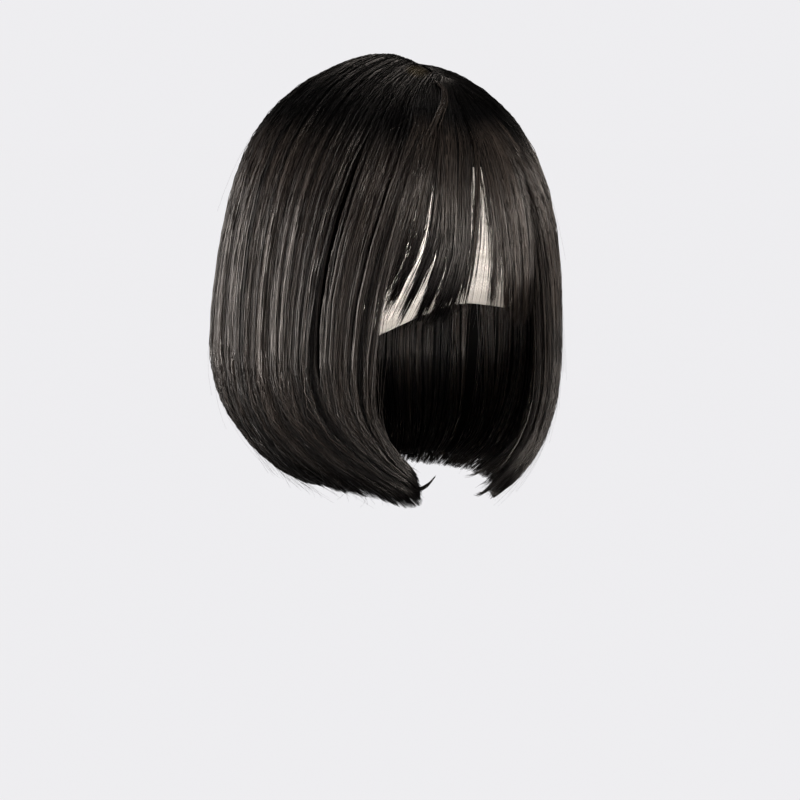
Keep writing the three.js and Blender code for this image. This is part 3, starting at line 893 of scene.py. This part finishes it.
def capFace(grown, azimuth, share):  # points, and how far down the dome and from the hem they lie
    turn, dome = np.abs(np.degrees(azimuth)), capForm["dome"]
    front, ear = capPlan["frontHem"], capPlan["earHem"]
    sides = front + (ear - front) * smooth(*capPlan["toEar"], turn)
    overDome = dome + sides + (capPlan["napeHem"] - sides) * smooth(*capPlan["toNape"], turn)
    hem = np.where(overDome > 0, np.arccos(np.clip(overDome / dome, -1, 1)), np.pi / 2 - overDome / dome)
    angle = hem * share
    below = np.maximum(angle - np.pi / 2, 0) * dome
    taken = capForm["taper"] * (below / capForm["taperOver"]) ** 2
    around = np.sin(np.minimum(angle, np.pi / 2)) * (1 - taken)
    x = (capForm["halfWidth"] + grown) * around * np.sin(azimuth)
    y = -(capForm["halfDepth"] + grown) * around * np.cos(azimuth)
    z = (dome + grown) * np.cos(np.minimum(angle, np.pi / 2)) - below - dome
    fromHem = (hem - angle) * dome
    return np.stack([x, y, z], -1) * mm, angle * dome, fromHem


def netMaterial():
    g = newMaterial("capNet")
    where, seam = g.place(), g.attribute("seam")
    holes = {"Vector": where, "Scale": 620.0}
    thread = 1 - g.ramp(g.node("ShaderNodeTexVoronoi", {"feature": "DISTANCE_TO_EDGE"}, holes), 0.03, 0.16)
    weave = g.noise(where, 1500.0)
    net = g.mix(thread, rgb(0.53, 0.49, 0.45), rgb(0.76, 0.72, 0.67))
    cloth = g.mix(weave, rgb(0.42, 0.39, 0.355), rgb(0.53, 0.495, 0.45))
    height = thread * (1 - seam) + weave * seam * 0.6
    bump = g.node("ShaderNodeBump", None, {"Strength": 0.5, "Distance": 0.0004, "Height": height})
    underRoots = rgb(0.1, 0.072, 0.04)
    base = g.mix(g.attribute("roots"), g.mix(seam, net, cloth), underRoots)
    return g.principled(Base_Color=base, Roughness=0.8, Normal=bump)


def capPiece():
    azimuth = np.linspace(-np.pi, np.pi, capPlan["columns"], endpoint=False)[:, None]
    share = np.linspace(0, 1, capPlan["rows"])[None]
    azimuth, share = np.broadcast_arrays(azimuth, share)
    down, fromHem = capFace(0, azimuth, share)[1:]
    every, weftFrom = capPlan["weftEvery"], capPlan["weftFrom"]
    fromRow = (down % every - every / 2) / capPlan["weftWide"]
    weft = np.exp(-(fromRow**2)) * smooth(weftFrom - capPlan["weftFade"], weftFrom, down)
    hem = smooth(capPlan["hemWide"] + capPlan["hemFade"], capPlan["hemWide"], fromHem)
    swell = np.maximum(weft * capPlan["weftHigh"] * (1 - hem), hem * capPlan["hemThick"])
    inner = capFace(-swell, azimuth, share)[0]
    outer = capFace(capPlan["wall"] + capPlan["hemThick"] * hem, azimuth, share)[0]
    verts, quads, uv = closedWall(outer, inner, 0.0, 1.0, allRound=True)
    seam = np.maximum(weft, hem).ravel()
    apart = np.linalg.norm(outer[..., :2] / mm - capPlan["rootsAt"], axis=-1).ravel()
    roots = np.concatenate([smooth(*capPlan["rootsReach"], apart), np.zeros(apart.size)])
    noTriangles, values = np.zeros((0, 3), int), {"seam": np.tile(seam, 2), "roots": roots}
    made = meshObject("cap_net", verts, quads, noTriangles, uv, values, [netMaterial()])
    work = bmesh.new()
    work.from_mesh(made.data)
    bmesh.ops.remove_doubles(work, verts=work.verts, dist=capPlan["weld"])  # closes the crown
    work.to_mesh(made.data)
    work.free()
    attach(made, "root")
    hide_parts("cap")


capPiece()


def skinMaterial():  # silk in the colour of skin, with the dark points of the roots
    g = newMaterial("partingSkin")
    where = g.place()
    mottle = g.noise(where, 240.0)
    points = g.node("ShaderNodeTexVoronoi", None, {"Vector": where, "Scale": 700.0})
    roots = 1 - g.ramp(points, 0.12, 0.3)
    silk = g.mix(mottle, rgb(0.16, 0.11, 0.05), rgb(0.25, 0.18, 0.1))
    bump = g.node("ShaderNodeBump", None, {"Strength": 0.3, "Distance": 0.0003, "Height": mottle - roots})
    base = g.mix(roots, silk, rgb(0.02, 0.015, 0.012))
    return g.principled(Base_Color=base, Roughness=0.9, Specular_IOR_Level=0.1, Normal=bump)


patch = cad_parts["parting_patch"]
patch.data.materials.clear()
patch.data.materials.append(skinMaterial())
print("cap and parting are done")

# Camera: from the front, round to the wearer's right and a little above
shot = {"turn": -33, "rise": 8, "range": 1.3, "across": 0.479, "right": 0.0054, "height": -0.195}


def towards(turn, rise):  # unit vector from the wig, by degrees round from the front and up
    turn, rise = math.radians(turn), math.radians(rise)
    return Vector((math.sin(turn) * math.cos(rise), -math.cos(turn) * math.cos(rise), math.sin(rise)))


def aim(made, place, away):  # looks back along the way that it stands off
    bpy.context.scene.collection.objects.link(made)
    made.location = place
    made.rotation_euler = away.to_track_quat("Z", "Y").to_euler()


lookAt = towards(shot["turn"] + 90, 0) * shot["right"] + Vector((0, 0, shot["height"]))
away = towards(shot["turn"], shot["rise"])
camera = bpy.data.objects.new("camera", bpy.data.cameras.new("camera"))
aim(camera, lookAt + away * shot["range"], away)
camera.data.angle = 2 * math.atan(shot["across"] / 2 / shot["range"])
bpy.context.scene.camera = camera

# Soft studio light, aimed at the middle of the wig, and a small lamp inside it
lightsMeet = Vector((0, 0, -0.12))
lights = {
    "leftBox": {
        "turn": -124, "rise": 0, "range": 1.5, "size": (0.9, 0.9), "power": 42, "colour": (1.0, 0.95, 0.91),
    },
    "rightBox": {
        "turn": 25, "rise": 4, "range": 1.6, "size": (0.6, 0.6), "power": 29, "colour": (1.0, 0.94, 0.88),
    },
    "topBack": {
        "turn": 158, "rise": 57, "range": 1.5, "size": (0.5, 0.5), "power": 9, "colour": (1.0, 0.97, 0.94),
    },
    "lowFront": {
        "turn": -20, "rise": -10, "range": 1.6, "size": (0.7, 0.5), "power": 2.5,
        "colour": (1.0, 0.97, 0.95),
    },
    "hollow": {
        "turn": -42, "rise": -15, "range": 0.07, "size": (0.05, 0.05), "power": 0.09, "spread": 1.2,
        "colour": (1.0, 0.97, 0.95),
    },
}
for name, light in lights.items():
    lamp = bpy.data.lights.new(name, "AREA")
    lamp.shape = "RECTANGLE"
    lamp.size, lamp.size_y = light["size"]
    lamp.energy, lamp.color = light["power"], light["colour"]
    lamp.spread = light.get("spread", math.pi)
    away = towards(light["turn"], light["rise"])
    box = bpy.data.objects.new(name, lamp)
    aim(box, lightsMeet + away * light["range"], away)
    box.visible_camera = False

# Pale room: light walls, a dark ceiling that is lower towards the camera, a dim ground, and a pale backdrop
room = {"backdrop": rgb(0.855, 0.85, 0.87), "walls": rgb(1.0, 0.97, 0.94), "dark": rgb(0.008, 0.008, 0.011)}


def roomLight():
    world = bpy.data.worlds.new("room")
    bpy.context.scene.world = world
    g = Graph(world)
    way = g.node("ShaderNodeTexCoord", output="Generated")
    reach = lambda turn: g.node(
        "ShaderNodeVectorMath", {"operation": "DOT_PRODUCT"}, {0: way, 1: towards(turn, 0)}, output="Value",
    )
    up = g.node("ShaderNodeSeparateXYZ", None, {0: way}, output="Z")
    ahead, right = reach(shot["turn"]), reach(shot["turn"] + 90)
    ceiling = g.ramp(up - 0.42 * ahead, 0.35, 0.55)
    ground = g.ramp(up, -0.35, -0.75)
    front = 0.95 * g.ramp(ahead, 0.15, 0.85)
    behind = 0.6 * g.ramp(ahead, -0.75, -0.97)
    corner = 0.9 * g.ramp(right - 0.8 * ahead, 0.6, 1.1)
    light = (1 - ceiling) * (1 - ground) * (1 - front) * (1 - behind) * (1 - corner)
    walls = g.mix(light, room["dark"], room["walls"])
    seen = g.node("ShaderNodeLightPath", output="Is Camera Ray")
    background = world.node_tree.nodes["Background"]
    g.feed(background.inputs["Color"], g.mix(seen, walls, room["backdrop"]))


roomLight()

floorPlan = {"height": -1.6, "half": 60.0, "glow": 0.9955}  # as bright as the backdrop, with no line between
floorMesh = bpy.data.meshes.new("paleFloor")
half = floorPlan["half"]
corners = [(-half, -half, 0), (half, -half, 0), (half, half, 0), (-half, half, 0)]
floorMesh.from_pydata(corners, [], [(0, 1, 2, 3)])
paper = newMaterial("palePaper")
grain = paper.noise(paper.place(), 3.0)
floorMesh.materials.append(paper.principled(
    Base_Color=paper.mix(grain, rgb(0.03, 0.03, 0.031), rgb(0.04, 0.04, 0.041)), Roughness=0.9,
    Specular_IOR_Level=0.0, Emission_Color=room["backdrop"], Emission_Strength=floorPlan["glow"],
))
paleFloor = bpy.data.objects.new("paleFloor", floorMesh)
bpy.context.scene.collection.objects.link(paleFloor)
paleFloor.location.z = floorPlan["height"]
paleFloor.visible_glossy = paleFloor.visible_diffuse = False
bpy.context.scene.view_settings.view_transform = "Standard"
print("stage is done")
